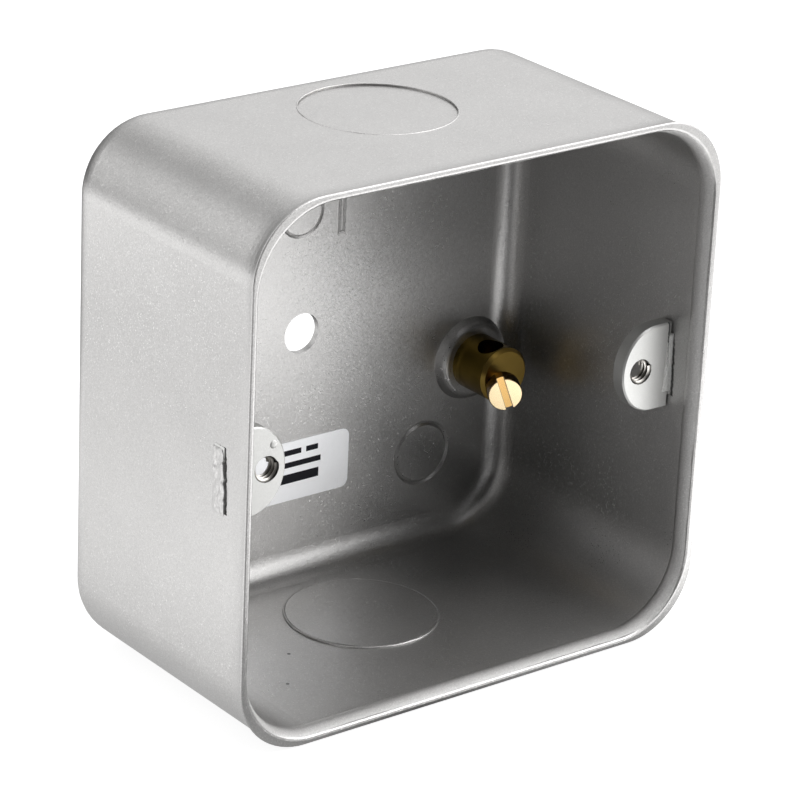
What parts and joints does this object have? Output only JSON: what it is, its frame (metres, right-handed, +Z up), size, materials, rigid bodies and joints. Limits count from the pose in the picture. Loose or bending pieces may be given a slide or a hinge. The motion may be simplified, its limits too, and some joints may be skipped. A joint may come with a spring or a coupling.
{
  "type": "metal back box",
  "caption": "Square drawn-steel back box for a wall switch or socket, open in front, with screw lugs, round knockouts, a rear fixing hole and an angled earth terminal.",
  "frame": {"origin": "centre of the rear fixing hole, on the outer face of the back", "axes": "+X to the right seen from the open front, +Y into the wall, +Z up; the mouth opens towards -Y"},
  "size_m": [0.0738, 0.0406, 0.073],
  "materials": {
    "silver_paint": "silver-grey enamel with a fine metallic sparkle",
    "lug_paint": "silver-grey enamel",
    "terminal_brass": "turned brass",
    "screw_brass": "turned brass, bright",
    "label_stock": "white, semi-gloss"
  },
  "bodies": {
    "box": {"box_shell": "silver_paint", "left_fixing_lug": "lug_paint", "right_fixing_lug": "lug_paint", "earth_terminal_pillar": "terminal_brass", "rating_label": "label_stock"},
    "terminal_screw": {"earth_terminal_screw": "screw_brass"}
  },
  "joints": [
    {"name": "terminal_screw_travel", "type": "slide", "parent": "box", "child": "terminal_screw", "axis": [-0.4903, -0.8701, -0.0506], "range_m": [0, 0.0025]}
  ]
}
